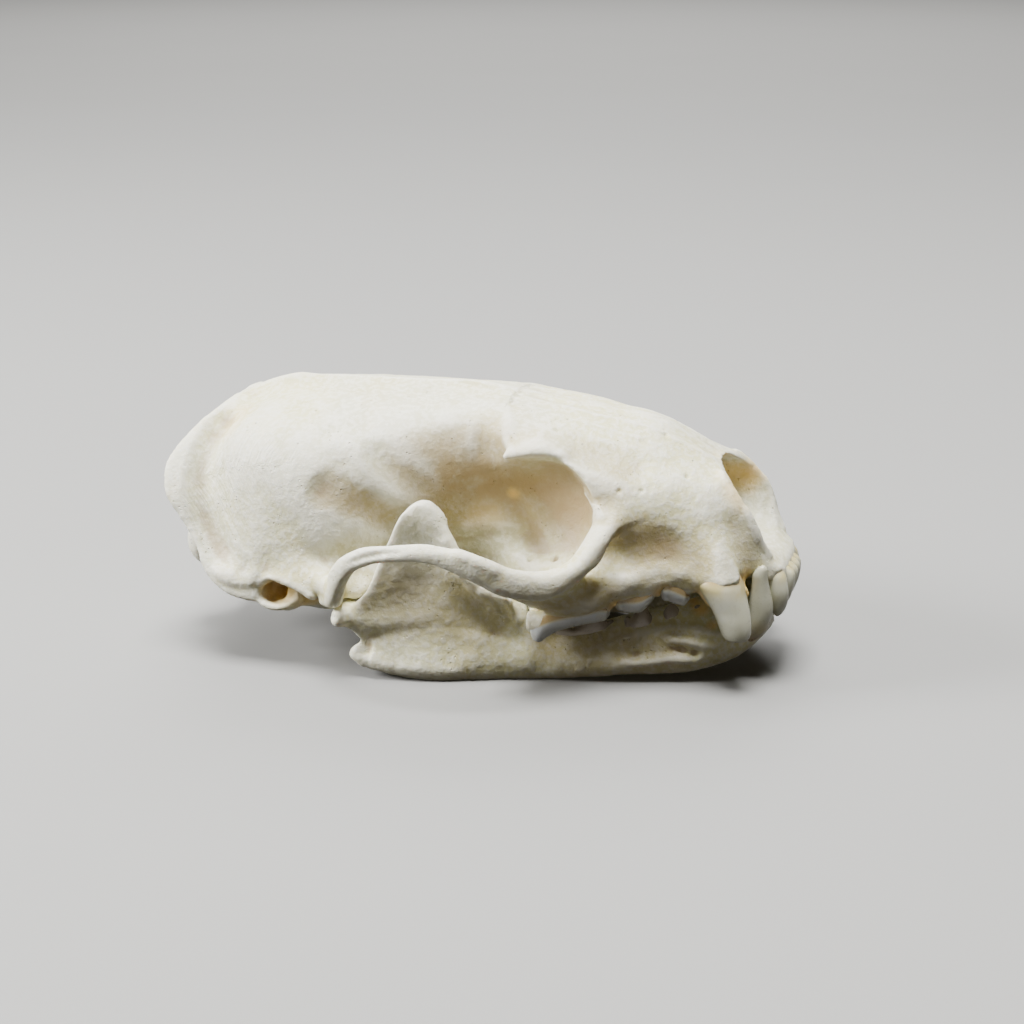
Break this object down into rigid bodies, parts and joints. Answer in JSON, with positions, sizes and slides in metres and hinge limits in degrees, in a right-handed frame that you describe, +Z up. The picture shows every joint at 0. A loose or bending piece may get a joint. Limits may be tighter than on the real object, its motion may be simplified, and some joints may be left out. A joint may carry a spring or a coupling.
{
  "type": "skunk skull",
  "caption": "Bare skull of an adult striped skunk with the lower jaw closed under it, resting on the lower edges of the jaw; a still, life-size display bone.",
  "frame": {"origin": "middle of the bounding box's base, on the surface that the lower jaw stands on", "axes": "+X towards the snout, +Y towards the animal's left side, +Z up"},
  "size_m": [0.0724, 0.0464, 0.0313],
  "materials": {
    "bone": "matte dry bone",
    "enamel": "satin tooth enamel"
  },
  "bodies": {
    "root": {"braincase": "bone", "rostrum": "bone", "zygomatic_arch_right": "bone", "zygomatic_arch_left": "bone", "auditory_bulla_right": "bone", "auditory_bulla_left": "bone", "mandible_right": "bone", "mandible_left": "bone"}
  },
  "joints": []
}
